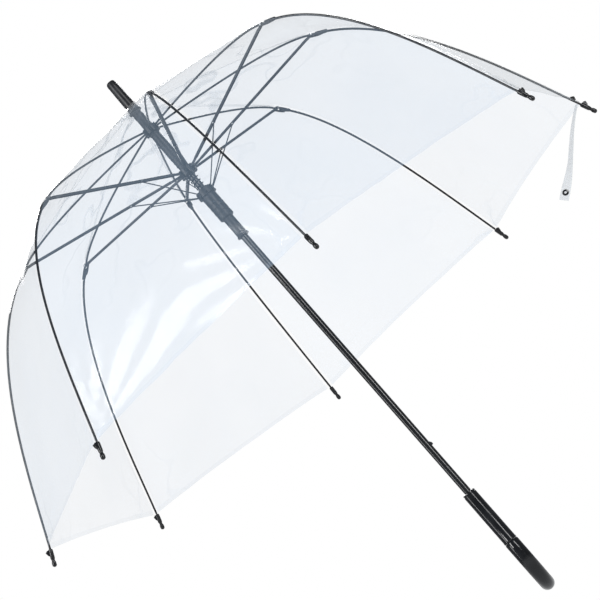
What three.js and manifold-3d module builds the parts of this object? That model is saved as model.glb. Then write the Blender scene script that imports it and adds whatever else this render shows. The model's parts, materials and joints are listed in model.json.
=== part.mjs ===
// Clear dome stick umbrella with eight ribs, open, upright, handle down.
// Millimetres. Z runs up the shaft, and the origin is the middle of the grip sleeve.
import * as THREE from 'three';
import { mergeGeometries, mergeVertices } from 'three/addons/utils/BufferGeometryUtils.js';
import ManifoldModule from 'manifold-3d';

const wasm = await ManifoldModule();
wasm.setup();
const { Manifold } = wasm;

// Frame
const RIBS = 8;
const RIB_STEP = (2 * Math.PI) / RIBS;
const GAP = 0.3;

// Shaft and its ends
const SHAFT_R = 4.7;
const SHAFT_BORE_R = 4.1;
const SHAFT_BOTTOM = -54;
const SHAFT_TOP = 699;
const SLIDE_R = SHAFT_R + GAP;
const FERRULE_BASE = 673;
const FERRULE_TOP = 721.7;

// Rib pivots, as radius and height
const NOTCH_PIVOT = [8, 639];
const BRACKET_PIVOT = [231, 603];
const HUB_PIVOT = [8, 567];
const RIB_TIP = [430, 301.5];
const RING_PIVOT = [11, 531];

// Rib curves
const INNER_BEND = [189, 627];
const OUTER_BEND_TOP = [336.3, 559.4];
const OUTER_BEND_LOW = [391.1, 392.3];
const INNER_RIB_R = 1.3;
const OUTER_RIB_R = 1.5;

// Stretchers and links
const STRETCHER_WIDTH = 4.6;
const STRETCHER_HEIGHT = 2.6;
const STRETCHER_WALL = 0.7;
const TONGUE_WIDTH = 2.4;
const TONGUE_LENGTH = 15;
const FORK_LENGTH = 10;
const LINK_AT = 74.5;
const LINK_DROP = 0.9;
const LINK_R = 0.75;
const EYE_R = 1.2;

// Film canopy
const FILM_OFFSET = 2.7;
const FILM_THICKNESS = 0.6;
const FILM_HOLE_R = 5.2;
const FILM_TOP = 671.6;
const CROWN_FLAT_R = 9;
const CROWN_BEND = [130.5, 645];
const HEM_FROM_TIP = 11.5;
const HEM_ARCH = 4;
const FILM_SETBACK = 0.2;

// Rib tips
const TIP_R = 2.75;
const TIP_SLEEVE = 10;
const TIP_BALL = 9.6;
const KNOB_FROM_TIP = 8.4;

// Runners and spring
const HUB_R = 10.6;
const HUB_HALF = 5.4;
const NECK_R = 6.4;
const NOTCH_BOTTOM = 633.5;
const RING_R = 12.6;
const RING_HALF = 4.6;
const SLEEVE_R = 9.9;
const SLEEVE_BOTTOM = 489;
const SLEEVE_BORE_R = 7.3;
const TUBE_R = 7;
const RUNNER_BOTTOM = 458;
const FLANGE_R = 8.2;
const SPRING_R = 5.85;
const SPRING_WIRE_R = 0.72;
const SPRING_COILS = 12;

// Catch
const CATCH_Z = 112.8;
const CATCH_HALF = 2.8;
const CATCH_PROUD = 2.2;
const CATCH_WIDTH = 1.8;
const WINDOW_LOW = 2.9;
const WINDOW_HEIGHT = 9;

// Handle
const GRIP_R = 8.6;
const GRIP_HALF = 38.4;
const CROOK_R = 9.1;
const CROOK_END_R = 8.5;
const CROOK_TOP = -38.8;
const BEND_Z = -64;
const BEND_RADIUS = 38;
const HOOK_RISE = 14;
const HOOK_TURN = (83.5 * Math.PI) / 180;

// Strap and snap
const STRAP_WIDTH = 12;
const STRAP_THICKNESS = 1;
const STRAP_LENGTH = 124;
const STRAP_LEAN = (48.5 * Math.PI) / 180;
const STRAP_PIVOT = [418.5, -10, 314];
const SNAP_R = 4;

const MATERIALS = {
  shaft: { color: 0x15171b, roughness: 0.25, metalness: 0.8 },
  black_plastic: { color: 0x0d0e11, roughness: 0.22, metalness: 0 },
  frame_plastic: { color: 0x2b3038, roughness: 0.4, metalness: 0 },
  rib: { color: 0x101216, roughness: 0.35, metalness: 0.1 },
  stretcher: { color: 0x3c434d, roughness: 0.4, metalness: 0.7 },
  wire: { color: 0x8f969e, roughness: 0.3, metalness: 0.9 },
  film: { color: 0xf2f6f9, roughness: 0.08, metalness: 0 },
  strap: { color: 0xe8edf0, roughness: 0.2, metalness: 0 },
};

const group = new THREE.Group();

function add(name, geometry, material) {
  const mesh = new THREE.Mesh(geometry, new THREE.MeshStandardMaterial(MATERIALS[material]));
  mesh.name = name;
  group.add(mesh);
}

// ---- Solids and booleans ----

function toManifold(geometry) {
  const plain = geometry.clone();
  plain.deleteAttribute('normal');
  plain.deleteAttribute('uv');
  const merged = mergeVertices(plain, 1e-4);
  return new Manifold(new wasm.Mesh({
    numProp: 3,
    vertProperties: new Float32Array(merged.attributes.position.array),
    triVerts: new Uint32Array(merged.index.array),
  }));
}

function toGeometry(manifold) {
  const mesh = manifold.getMesh();
  const geometry = new THREE.BufferGeometry();
  geometry.setAttribute('position', new THREE.BufferAttribute(mesh.vertProperties, 3));
  geometry.setIndex(new THREE.BufferAttribute(mesh.triVerts, 1));
  return geometry;
}

function cut(body, ...tools) {
  return tools.reduce((left, tool) => left.subtract(toManifold(tool)), toManifold(body));
}

function join(first, ...rest) {
  return rest.reduce((sum, next) => sum.add(toManifold(next)), toManifold(first));
}

function box(low, high) {
  const size = low.map((value, axis) => high[axis] - value);
  const middle = low.map((value, axis) => (high[axis] + value) / 2);
  return new THREE.BoxGeometry(...size).translate(...middle);
}

// A solid of revolution about Z. The profile is [radius, height] pairs, anticlockwise.
function turned(profile, sides = 24) {
  const points = profile.map(([radius, height]) => new THREE.Vector2(radius, height));
  return new THREE.LatheGeometry(points, sides).rotateX(Math.PI / 2);
}

function ringProfile(inner, outer, low, high) {
  return [[inner, low], [outer, low], [outer, high], [inner, high], [inner, low]];
}

// A closed round bar along points in the XZ plane, with a radius for each point.
function bar(points, radii, sides) {
  const positions = [];
  const faces = [];
  points.forEach(([x, z], i) => {
    const [ax, az] = points[Math.max(i - 1, 0)];
    const [bx, bz] = points[Math.min(i + 1, points.length - 1)];
    const length = Math.hypot(bx - ax, bz - az);
    const normal = [-(bz - az) / length, (bx - ax) / length];
    for (let k = 0; k < sides; k += 1) {
      const angle = (2 * Math.PI * k) / sides;
      const side = radii[i] * Math.sin(angle);
      const out = radii[i] * Math.cos(angle);
      positions.push(x + normal[0] * out, side, z + normal[1] * out);
    }
  });
  for (let i = 0; i + 1 < points.length; i += 1) {
    for (let k = 0; k < sides; k += 1) {
      const a = i * sides + k;
      const b = i * sides + ((k + 1) % sides);
      faces.push(a, a + sides, b, b, a + sides, b + sides);
    }
  }
  const last = (points.length - 1) * sides;
  for (let k = 1; k + 1 < sides; k += 1) {
    faces.push(0, k, k + 1, last, last + k + 1, last + k);
  }
  const geometry = new THREE.BufferGeometry();
  geometry.setAttribute('position', new THREE.Float32BufferAttribute(positions, 3));
  geometry.setIndex(faces);
  return geometry;
}

function crossPin(radius, width, [x, z], sides = 10) {
  return new THREE.CylinderGeometry(radius, radius, width, sides).translate(x, 0, z);
}

// ---- Rib and film curves in the plane of one rib ----

function quadratic(a, b, c, t) {
  return a.map((value, k) => (1 - t) ** 2 * value + 2 * t * (1 - t) * b[k] + t * t * c[k]);
}

function cubic(a, b, c, d, t) {
  const s = 1 - t;
  return a.map((value, k) => s ** 3 * value + 3 * s * s * t * b[k] + 3 * s * t * t * c[k] + t ** 3 * d[k]);
}

function outerPoint(t) {
  return cubic(BRACKET_PIVOT, OUTER_BEND_TOP, OUTER_BEND_LOW, RIB_TIP, t);
}

function innerPoint(t) {
  return quadratic(NOTCH_PIVOT, INNER_BEND, BRACKET_PIVOT, t);
}

function outerTangent(t) {
  const [ax, az] = outerPoint(t - 0.001);
  const [bx, bz] = outerPoint(t + 0.001);
  const length = Math.hypot(bx - ax, bz - az);
  return [(bx - ax) / length, (bz - az) / length];
}

// The curve parameter that lies a given distance back from the rib tip.
function fromTip(distance) {
  let t = 1;
  let walked = 0;
  while (walked < distance) {
    const [ax, az] = outerPoint(t);
    t -= 0.0005;
    const [bx, bz] = outerPoint(t);
    walked += Math.hypot(bx - ax, bz - az);
  }
  return t;
}

function outerOffset(t, offset) {
  const [x, z] = outerPoint(t);
  const [dx, dz] = outerTangent(t);
  return [x - dz * offset, z + dx * offset];
}

function steps(count, from = 0, to = 1) {
  return Array.from({ length: count + 1 }, (_, k) => from + ((to - from) * k) / count);
}

function spin(geometry, index) {
  return geometry.rotateZ(index * RIB_STEP);
}

// ---- Canopy ----

const CROWN_ROWS = 5;
const SKIRT_ROWS = 12;
const FILM_COLUMNS = 4;

// The film's ridge line over a rib, at a given offset from the rib's centre line.
function ridge(offset) {
  const over = offset - FILM_OFFSET;
  const joint = outerOffset(0, offset);
  const crown = steps(CROWN_ROWS).map((t) => {
    const [r, z] = quadratic([CROWN_FLAT_R, FILM_TOP], CROWN_BEND, outerOffset(0, FILM_OFFSET), t);
    return [r, z + over];
  });
  crown[CROWN_ROWS] = joint;
  const skirt = steps(SKIRT_ROWS, 0, fromTip(HEM_FROM_TIP)).slice(1).map((t) => outerOffset(t, offset));
  return [[FILM_HOLE_R, FILM_TOP + over], ...crown, ...skirt];
}

// One panel of film between two ribs, centred on +X, as a thin closed sheet.
function filmPanel() {
  const positions = [];
  const faces = [];
  const half = RIB_STEP / 2;
  const columns = steps(FILM_COLUMNS, -1, 1);
  const sheets = [FILM_OFFSET + FILM_THICKNESS / 2, FILM_OFFSET - FILM_THICKNESS / 2].map(ridge);
  const rows = sheets[0].length;
  for (const line of sheets) {
    line.forEach(([r, z], row) => {
      const reach = r * Math.sin(half) - FILM_SETBACK;
      const [pr, pz] = line[Math.max(row - 1, 0)];
      const length = Math.hypot(r - pr, z - pz) || 1;
      for (const w of columns) {
        const arch = row === rows - 1 ? HEM_ARCH * (1 - w * w) : 0;
        const back = arch / length;
        const radial = (r + (pr - r) * back) * Math.cos(half);
        positions.push(radial, w * reach, z + (pz - z) * back);
      }
    });
  }
  const wide = columns.length;
  const under = rows * wide;
  for (let row = 0; row + 1 < rows; row += 1) {
    for (let k = 0; k + 1 < wide; k += 1) {
      const a = row * wide + k;
      const b = a + 1;
      const c = a + wide;
      const d = c + 1;
      faces.push(a, c, b, b, c, d);
      faces.push(under + a, under + b, under + c, under + b, under + d, under + c);
    }
    const left = row * wide;
    const right = left + wide - 1;
    faces.push(left, under + left, left + wide, under + left, under + left + wide, left + wide);
    faces.push(right, right + wide, under + right, under + right, right + wide, under + right + wide);
  }
  for (let k = 0; k + 1 < wide; k += 1) {
    const end = (rows - 1) * wide + k;
    faces.push(k, k + 1, under + k, k + 1, under + k + 1, under + k);
    faces.push(end, under + end, end + 1, end + 1, under + end, under + end + 1);
  }
  const geometry = new THREE.BufferGeometry();
  geometry.setAttribute('position', new THREE.Float32BufferAttribute(positions, 3));
  geometry.setIndex(faces);
  return geometry;
}

// ---- Ribs, stretchers and links, each in the XZ plane of rib 1 ----

function innerRib() {
  const points = steps(6, 0.002, 0.998).map(innerPoint);
  const arm = bar(points, points.map(() => INNER_RIB_R), 6);
  const eyes = [NOTCH_PIVOT, BRACKET_PIVOT].map((at) => crossPin(INNER_RIB_R + 0.3, 2.4, at, 8));
  return toGeometry(join(arm, ...eyes));
}

function outerRib() {
  const stop = fromTip(1.5);
  const points = steps(12, 0.016, stop).map(outerPoint);
  const arm = bar(points, points.map(() => OUTER_RIB_R), 6);
  const [px, pz] = BRACKET_PIVOT;
  const cheek = box([-2, 2.6, -3], [14, 3.3, 0.6]);
  const otherCheek = box([-2, -3.3, -3], [14, -2.6, 0.6]);
  const web = box([6.5, -3.3, -3], [14, 3.3, 0.6]);
  const [dx, dz] = outerTangent(0.02);
  const place = (part) => part.rotateY(-Math.atan2(dz, dx)).translate(px, 0, pz);
  return toGeometry(join(arm, ...[cheek, otherCheek, web].map(place)));
}

// A cap that slips over the rib's end, with a ball end and a knob for the film.
function ribTip() {
  const profile = [
    [0, -TIP_BALL],
    [1.5, -TIP_BALL + 0.5],
    [2.5, -TIP_BALL + 1.9],
    [2.5, -TIP_BALL + 3.2],
    [2, -TIP_BALL + 4.6],
    [TIP_R, -TIP_BALL + 6.4],
    [TIP_R, TIP_SLEEVE],
    [OUTER_RIB_R + GAP, TIP_SLEEVE],
    [OUTER_RIB_R + GAP, 0],
    [0, 0],
  ];
  const cap = turned(profile, 8);
  const knob = new THREE.CylinderGeometry(1.1, 1.1, 2.6, 6)
    .rotateZ(Math.PI / 2).translate(TIP_R + 0.9, 0, KNOB_FROM_TIP);
  const head = new THREE.CylinderGeometry(1.8, 1.8, 0.9, 6)
    .rotateZ(Math.PI / 2).translate(TIP_R + 2.5, 0, KNOB_FROM_TIP);
  const tip = toGeometry(join(cap, knob, head));
  const [dx, dz] = outerTangent(0.985);
  return tip.rotateY(Math.atan2(-dx, -dz)).translate(RIB_TIP[0], 0, RIB_TIP[1]);
}

function stretcher() {
  const [hx, hz] = HUB_PIVOT;
  const [bx, bz] = BRACKET_PIVOT;
  const length = Math.hypot(bx - hx, bz - hz);
  const half = STRETCHER_WIDTH / 2;
  const high = STRETCHER_HEIGHT / 2;
  const channel = box([TONGUE_LENGTH - 1, -half, -high], [length + 1.8, half, high]);
  const trough = box([TONGUE_LENGTH + 2, -half + STRETCHER_WALL, -high - 1], [length + 9, half - STRETCHER_WALL, 0.6]);
  const forkGap = box([length - FORK_LENGTH, -half + STRETCHER_WALL, -high - 1], [length + 9, half - STRETCHER_WALL, 9]);
  const tongue = box([0, -TONGUE_WIDTH / 2, -high], [TONGUE_LENGTH, TONGUE_WIDTH / 2, high]);
  const eye = crossPin(1.5, TONGUE_WIDTH, [0, 0]);
  const forkTop = box([length - 5, -half - 1, 0.5], [length + 9, half + 1, 9]);
  const solid = cut(channel, trough, forkGap, forkTop).add(toManifold(tongue)).add(toManifold(eye));
  return toGeometry(solid).rotateY(-Math.atan2(bz - hz, bx - hx)).translate(hx, 0, hz);
}

function linkTop() {
  const [hx, hz] = HUB_PIVOT;
  const [bx, bz] = BRACKET_PIVOT;
  const length = Math.hypot(bx - hx, bz - hz);
  const [dx, dz] = [(bx - hx) / length, (bz - hz) / length];
  return [hx + dx * LINK_AT + dz * LINK_DROP, hz + dz * LINK_AT - dx * LINK_DROP];
}

function link() {
  const points = [RING_PIVOT, linkTop()];
  const wire = bar(points, points.map(() => LINK_R), 5);
  const eyes = points.map((at) => crossPin(EYE_R, 1.9, at, 6));
  return toGeometry(join(wire, ...eyes));
}

for (let i = 0; i < RIBS; i += 1) {
  add(`rib_inner_${i + 1}`, spin(innerRib(), i), 'wire');
  add(`rib_outer_${i + 1}`, spin(outerRib(), i), 'rib');
  add(`rib_tip_${i + 1}`, spin(ribTip(), i), 'black_plastic');
  add(`stretcher_${i + 1}`, spin(stretcher(), i), 'stretcher');
  add(`link_${i + 1}`, spin(link(), i), 'wire');
  add(`canopy_panel_${i + 1}`, filmPanel().rotateZ((i + 0.5) * RIB_STEP), 'film');
}

// ---- Shaft line ----

function slots(width, from, to, low, high) {
  return Array.from({ length: RIBS }, (_, i) => spin(box([from, -width / 2, low], [to, width / 2, high]), i));
}

function shaft() {
  const tube = turned(ringProfile(SHAFT_BORE_R, SHAFT_R, SHAFT_BOTTOM, SHAFT_TOP), 20);
  const slot = box([0, -CATCH_WIDTH / 2 - GAP, CATCH_Z - CATCH_HALF - 1], [9, CATCH_WIDTH / 2 + GAP, CATCH_Z + CATCH_HALF + 1]);
  return toGeometry(cut(tube, slot));
}

function ferrule() {
  return turned([
    [SLIDE_R, FERRULE_BASE], [7.5, FERRULE_BASE], [7.6, FERRULE_BASE + 1.5], [6.4, FERRULE_TOP - 1.2],
    [5.2, FERRULE_TOP], [0, FERRULE_TOP], [0, SHAFT_TOP + GAP], [SLIDE_R, SHAFT_TOP + GAP], [SLIDE_R, FERRULE_BASE],
  ], 24);
}

function topNotch() {
  const body = turned([
    [SLIDE_R, NOTCH_BOTTOM], [HUB_R, NOTCH_BOTTOM], [HUB_R, 643], [6.4, 644.5], [6.4, 668],
    [9, 669.5], [9, 670.8], [SLIDE_R, 670.8], [SLIDE_R, NOTCH_BOTTOM],
  ], 24);
  return toGeometry(cut(body, ...slots(3.1, 6, 14, NOTCH_BOTTOM - 1, 644)));
}

function upperRunner() {
  const [, hubZ] = HUB_PIVOT;
  const low = hubZ - HUB_HALF;
  const high = hubZ + HUB_HALF;
  const body = turned([
    [SLIDE_R, low], [HUB_R, low], [HUB_R, high], [NECK_R, high + 1.2], [NECK_R, NOTCH_BOTTOM - 0.6],
    [SLIDE_R, NOTCH_BOTTOM - 0.6], [SLIDE_R, low],
  ], 24);
  return toGeometry(cut(body, ...slots(3.1, 6.2, 14, low - 1, high + 3)));
}

function lowerRunner() {
  const [, ringZ] = RING_PIVOT;
  const floor = SLEEVE_BOTTOM + 5;
  const body = turned([
    [SLIDE_R, RUNNER_BOTTOM], [FLANGE_R, RUNNER_BOTTOM], [FLANGE_R, RUNNER_BOTTOM + 2], [TUBE_R, RUNNER_BOTTOM + 2.6],
    [TUBE_R, SLEEVE_BOTTOM], [SLEEVE_R, SLEEVE_BOTTOM], [SLEEVE_R, ringZ - RING_HALF], [RING_R, ringZ - RING_HALF],
    [RING_R, ringZ + RING_HALF], [SLEEVE_BORE_R, ringZ + RING_HALF], [SLEEVE_BORE_R, floor], [SLIDE_R, floor],
    [SLIDE_R, RUNNER_BOTTOM],
  ], 24);
  const window = box([2, -CATCH_WIDTH / 2 - 0.5, RUNNER_BOTTOM + WINDOW_LOW], [12, CATCH_WIDTH / 2 + 0.5, RUNNER_BOTTOM + WINDOW_LOW + WINDOW_HEIGHT]);
  return toGeometry(cut(body, window, ...slots(2.5, 8.7, 16, ringZ - RING_HALF - 0.01, ringZ + RING_HALF + 1)));
}

class Coil extends THREE.Curve {
  getPoint(t, target = new THREE.Vector3()) {
    const angle = 2 * Math.PI * SPRING_COILS * t;
    const low = SLEEVE_BOTTOM + 5 + SPRING_WIRE_R + GAP;
    const high = HUB_PIVOT[1] - HUB_HALF - SPRING_WIRE_R - GAP;
    return target.set(SPRING_R * Math.cos(angle), SPRING_R * Math.sin(angle), low + (high - low) * t);
  }
}

function mainSpring() {
  const outline = new THREE.Shape().absarc(0, 0, SPRING_WIRE_R, 0, 2 * Math.PI, false);
  return new THREE.ExtrudeGeometry(outline, {
    steps: SPRING_COILS * 8, curveSegments: 2, bevelEnabled: false, extrudePath: new Coil(),
  });
}

// A wedge that stands out of the shaft, on a leaf that lies in its bore.
function shaftCatch() {
  const inner = 1;
  const outline = new THREE.Shape();
  outline.moveTo(inner, CATCH_Z - CATCH_HALF);
  outline.lineTo(SHAFT_R + CATCH_PROUD, CATCH_Z - CATCH_HALF);
  outline.lineTo(SHAFT_R + CATCH_PROUD, CATCH_Z);
  outline.lineTo(SHAFT_R + 0.2, CATCH_Z + CATCH_HALF);
  outline.lineTo(inner, CATCH_Z + CATCH_HALF);
  outline.closePath();
  const wedge = new THREE.ExtrudeGeometry(outline, { depth: CATCH_WIDTH, bevelEnabled: false })
    .translate(0, 0, -CATCH_WIDTH / 2).rotateX(Math.PI / 2);
  const leaf = box([inner - 0.6, -CATCH_WIDTH / 2, CATCH_Z - 26], [inner + 0.1, CATCH_WIDTH / 2, CATCH_Z + CATCH_HALF]);
  return toGeometry(join(wedge, leaf));
}

add('shaft', shaft(), 'shaft');
add('ferrule', ferrule(), 'black_plastic');
add('top_notch', topNotch(), 'frame_plastic');
add('upper_runner', upperRunner(), 'frame_plastic');
add('main_spring', mainSpring(), 'wire');
add('lower_runner', lowerRunner(), 'frame_plastic');
add('catch', shaftCatch(), 'wire');

// ---- Handle ----

function gripSleeve() {
  return turned([
    [SLIDE_R, -GRIP_HALF], [GRIP_R + 0.2, -GRIP_HALF], [GRIP_R, GRIP_HALF - 1], [GRIP_R - 0.8, GRIP_HALF],
    [SLIDE_R, GRIP_HALF], [SLIDE_R, -GRIP_HALF],
  ], 28);
}

function crookHandle() {
  const bend = steps(12).map((t) => [
    BEND_RADIUS - BEND_RADIUS * Math.cos(Math.PI * t), BEND_Z - BEND_RADIUS * Math.sin(Math.PI * t),
  ]);
  const hookTop = BEND_Z + HOOK_RISE;
  const dome = [20, 45, 68, 85].map((degrees) => (degrees * Math.PI) / 180);
  const line = [[0, CROOK_TOP], [0, CROOK_TOP - 10], ...bend, [2 * BEND_RADIUS, hookTop]];
  const radii = line.map((_, k) => CROOK_R + ((CROOK_END_R - CROOK_R) * k) / (line.length - 1));
  for (const angle of dome) {
    line.push([2 * BEND_RADIUS, hookTop + CROOK_END_R * Math.sin(angle)]);
    radii.push(CROOK_END_R * Math.cos(angle));
  }
  const solid = bar(line, radii, 16).rotateZ(HOOK_TURN);
  const bore = new THREE.CylinderGeometry(SLIDE_R, SLIDE_R, 30, 20)
    .rotateX(Math.PI / 2).translate(0, 0, SHAFT_BOTTOM - 1 + 15);
  return toGeometry(cut(solid, bore));
}

add('grip_sleeve', gripSleeve(), 'black_plastic');
add('crook_handle', crookHandle(), 'black_plastic');

// ---- Strap and snap ----

function placeStrap(geometry) {
  return geometry.rotateY(STRAP_LEAN).translate(...STRAP_PIVOT);
}

function strap() {
  const half = STRAP_WIDTH / 2;
  const thick = STRAP_THICKNESS / 2;
  const band = box([-thick, -half, -STRAP_LENGTH], [thick, half, 0]);
  const hole = new THREE.CylinderGeometry(1.6, 1.6, 6, 12).rotateZ(Math.PI / 2).translate(0, 0, 10 - STRAP_LENGTH);
  return placeStrap(toGeometry(cut(band, hole)));
}

function snapSocket() {
  const face = STRAP_THICKNESS / 2 + GAP;
  const disc = new THREE.CylinderGeometry(SNAP_R, SNAP_R, 1.6, 16)
    .rotateZ(Math.PI / 2).translate(face + 0.8, 0, 10 - STRAP_LENGTH);
  const stem = new THREE.CylinderGeometry(1.3, 1.3, 4, 12)
    .rotateZ(Math.PI / 2).translate(face + 0.8 - 2, 0, 10 - STRAP_LENGTH);
  return placeStrap(toGeometry(join(disc, stem)));
}

function snapStud() {
  const t = fromTip(24);
  const [x, z] = outerOffset(t, FILM_OFFSET + FILM_THICKNESS / 2 + GAP);
  const [dx, dz] = outerTangent(t);
  const base = new THREE.CylinderGeometry(SNAP_R, SNAP_R, 1.2, 16).rotateX(Math.PI / 2).translate(0, 0, 0.6);
  const stud = new THREE.CylinderGeometry(1.7, 1.7, 1.6, 12).rotateX(Math.PI / 2).translate(0, 0, 1.8);
  return toGeometry(join(base, stud)).rotateY(Math.PI / 2 - Math.atan2(dx, -dz)).translate(x, 0, z);
}

add('strap', strap(), 'strap');
add('snap_socket', snapSocket(), 'black_plastic');
add('snap_stud', snapStud(), 'black_plastic');

export default group;
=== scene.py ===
import json
import math

import bpy
import numpy as np
from mathutils import Matrix, Vector, noise

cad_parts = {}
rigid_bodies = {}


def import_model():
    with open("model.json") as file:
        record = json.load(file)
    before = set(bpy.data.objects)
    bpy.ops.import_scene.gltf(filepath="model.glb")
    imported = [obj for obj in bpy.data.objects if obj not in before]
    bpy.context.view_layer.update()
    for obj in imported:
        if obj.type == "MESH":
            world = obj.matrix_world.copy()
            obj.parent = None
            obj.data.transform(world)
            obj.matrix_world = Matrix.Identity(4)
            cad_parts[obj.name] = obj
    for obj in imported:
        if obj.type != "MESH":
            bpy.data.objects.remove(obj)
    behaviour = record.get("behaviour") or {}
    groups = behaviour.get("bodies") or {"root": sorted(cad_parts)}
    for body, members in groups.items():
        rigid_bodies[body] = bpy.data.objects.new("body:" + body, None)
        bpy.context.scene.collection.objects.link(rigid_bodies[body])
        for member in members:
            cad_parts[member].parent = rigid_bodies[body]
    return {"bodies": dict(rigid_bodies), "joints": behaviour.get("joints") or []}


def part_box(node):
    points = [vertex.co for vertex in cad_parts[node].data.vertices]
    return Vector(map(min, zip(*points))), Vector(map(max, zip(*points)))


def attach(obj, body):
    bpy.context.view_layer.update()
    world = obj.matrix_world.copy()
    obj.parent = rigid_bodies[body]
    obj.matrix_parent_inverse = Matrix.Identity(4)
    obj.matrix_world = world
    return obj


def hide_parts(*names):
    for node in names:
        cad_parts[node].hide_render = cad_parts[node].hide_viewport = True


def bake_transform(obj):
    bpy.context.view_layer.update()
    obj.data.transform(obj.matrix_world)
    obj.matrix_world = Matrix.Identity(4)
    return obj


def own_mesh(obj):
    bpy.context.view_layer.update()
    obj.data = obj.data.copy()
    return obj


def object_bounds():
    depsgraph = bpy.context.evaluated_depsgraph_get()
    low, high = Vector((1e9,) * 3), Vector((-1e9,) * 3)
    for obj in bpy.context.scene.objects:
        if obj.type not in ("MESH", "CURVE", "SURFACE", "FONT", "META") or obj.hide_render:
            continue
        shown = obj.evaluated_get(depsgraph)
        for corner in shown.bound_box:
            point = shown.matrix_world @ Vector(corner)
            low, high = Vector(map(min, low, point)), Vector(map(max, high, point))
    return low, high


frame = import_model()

# Clear dome stick umbrella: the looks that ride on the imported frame.
# Metres. Z runs up the shaft, and each rib is made in the XZ plane and turned to its place.

CAD_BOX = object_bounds()
MM = 0.001
JOINTS = {joint["name"]: joint for joint in frame["joints"]}
RIBS = sum(name.startswith("rib_inner_") for name in frame["bodies"])
RIB_STEP = 2 * math.pi / RIBS
HALF_STEP = RIB_STEP / 2


def pivot(joint):
    """Radius and height of a joint's pivot, as a point in the XZ plane of its rib."""
    x, y, z = JOINTS[joint]["pos_m"]
    return Vector((math.hypot(x, y), 0, z))


# Pivots of one rib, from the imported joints
NOTCH = pivot("canopy_fold")
BRACKET = pivot("rib_1_bend")
HUB = pivot("upper_runner_level")
LINK_TOP = pivot("link_1_hinge")
STRAP_TOP = Vector(JOINTS["strap_swing"]["pos_m"])
STRAP_LEAN = math.radians(48.5)
RING_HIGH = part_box("lower_runner")[1].z
RING = Vector((11 * MM, 0, RING_HIGH - 4.6 * MM))

# Rib curves
RIB_END = Vector((430 * MM, 0, 301.5 * MM))
INNER_BEND = Vector((189 * MM, 0, 627 * MM))
OUTER_BENDS = (Vector((336.3 * MM, 0, 559.4 * MM)), Vector((391.1 * MM, 0, 392.3 * MM)))
INNER_RIB_R = 1.3 * MM
OUTER_RIB_R = 1.5 * MM

# Film
FILM_GAP = 1.9 * MM
FILM_LIFT = 1.1 * MM
FILM_HOLE_R = 5.2 * MM
FILM_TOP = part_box("canopy_panel_1")[1].z - 0.3 * MM
CROWN_FLAT_R = 9 * MM
# No weld is drawn inside CROWN_DISC_R. Inside THROAT_R the film bends from the shaft to the ribs.
CROWN_DISC_R = 20 * MM
THROAT_R = 32 * MM
CROWN_BEND = Vector((130.5 * MM, 0, 645 * MM))
HEM_FROM_TIP = 11.5 * MM
HEM_ARCH = 4 * MM
WELD_HALF = 2 * MM
# Within these distances of the weld over an outer rib the film's haze is cleared: a painted shade of the
# rib, which blocks the light the haze would scatter.
RIB_SHADE_INNER, RIB_SHADE_OUTER = 3.2 * MM, 6 * MM
HEM_BAND = 7 * MM
BAND_EDGE = 0.4 * MM
CROWN_ROWS = 26
SKIRT_ROWS = 64
GORE_COLUMNS = 28

# Shaft line
SHAFT_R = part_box("shaft")[1].x
SLIDE_R = SHAFT_R * 1.07
FERRULE_LOW, FERRULE_HIGH = (corner.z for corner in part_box("ferrule"))
NOTCH_LOW, NOTCH_HIGH = (corner.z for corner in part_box("top_notch"))
UPPER_LOW, UPPER_HIGH = (corner.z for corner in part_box("upper_runner"))
RUNNER_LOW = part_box("lower_runner")[0].z
GRIP_LOW, GRIP_HIGH = (corner.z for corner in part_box("grip_sleeve"))
CROOK_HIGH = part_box("crook_handle")[1].z
HUB_R = 10.6 * MM
RING_R = 12.6 * MM
NECK_R = 6.4 * MM
SLEEVE_R = 9.9 * MM
SLEEVE_LOW = RUNNER_LOW + 31 * MM
TUBE_R = 7 * MM
GRIP_R = 8.6 * MM
BEND_Z = -64 * MM
BEND_RADIUS = 38 * MM
HOOK_RISE = 14 * MM
HOOK_TURN = math.radians(83.5)
CROOK_R, CROOK_END_R = 9.1 * MM, 8.5 * MM

# Camera, from the photograph's viewing angle
VIEW_AZIMUTH = math.radians(-6.513)
VIEW_ELEVATION = math.radians(-11.377)
VIEW_ROLL = math.radians(-41.186)
VIEW_DISTANCE = 2.7219
VIEW_TARGET = Vector((0, 0, 0.3505))
VIEW_LENS = 133.35


# ---- Shapes: a shape is (vertices, faces) ----

def joined(*shapes):
    """Several shapes as one."""
    verts, faces = [], []
    for more_verts, more_faces in shapes:
        first = len(verts)
        verts.extend(more_verts)
        faces.extend([tuple(first + i for i in face) for face in more_faces])
    return verts, faces


def placed(shape, matrix):
    verts, faces = shape
    return [matrix @ Vector(v) for v in verts], faces


def grid_faces(rows, columns, wrap=True):
    """Faces between the rows of a grid of points, which may close on itself across."""
    last = columns if wrap else columns - 1
    return [
        (i * columns + k, i * columns + (k + 1) % columns,
         (i + 1) * columns + (k + 1) % columns, (i + 1) * columns + k)
        for i in range(rows - 1) for k in range(last)
    ]


def in_mm(*points, foot=0.0):
    """Points of (radius or x, height) in millimetres, with the heights taken from foot."""
    return [(x * MM, foot + z * MM) for x, z in points]


def circle(radius, sides):
    turns = np.linspace(0, 2 * math.pi, sides, False)
    return [(radius * math.cos(a), radius * math.sin(a)) for a in turns]


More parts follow.
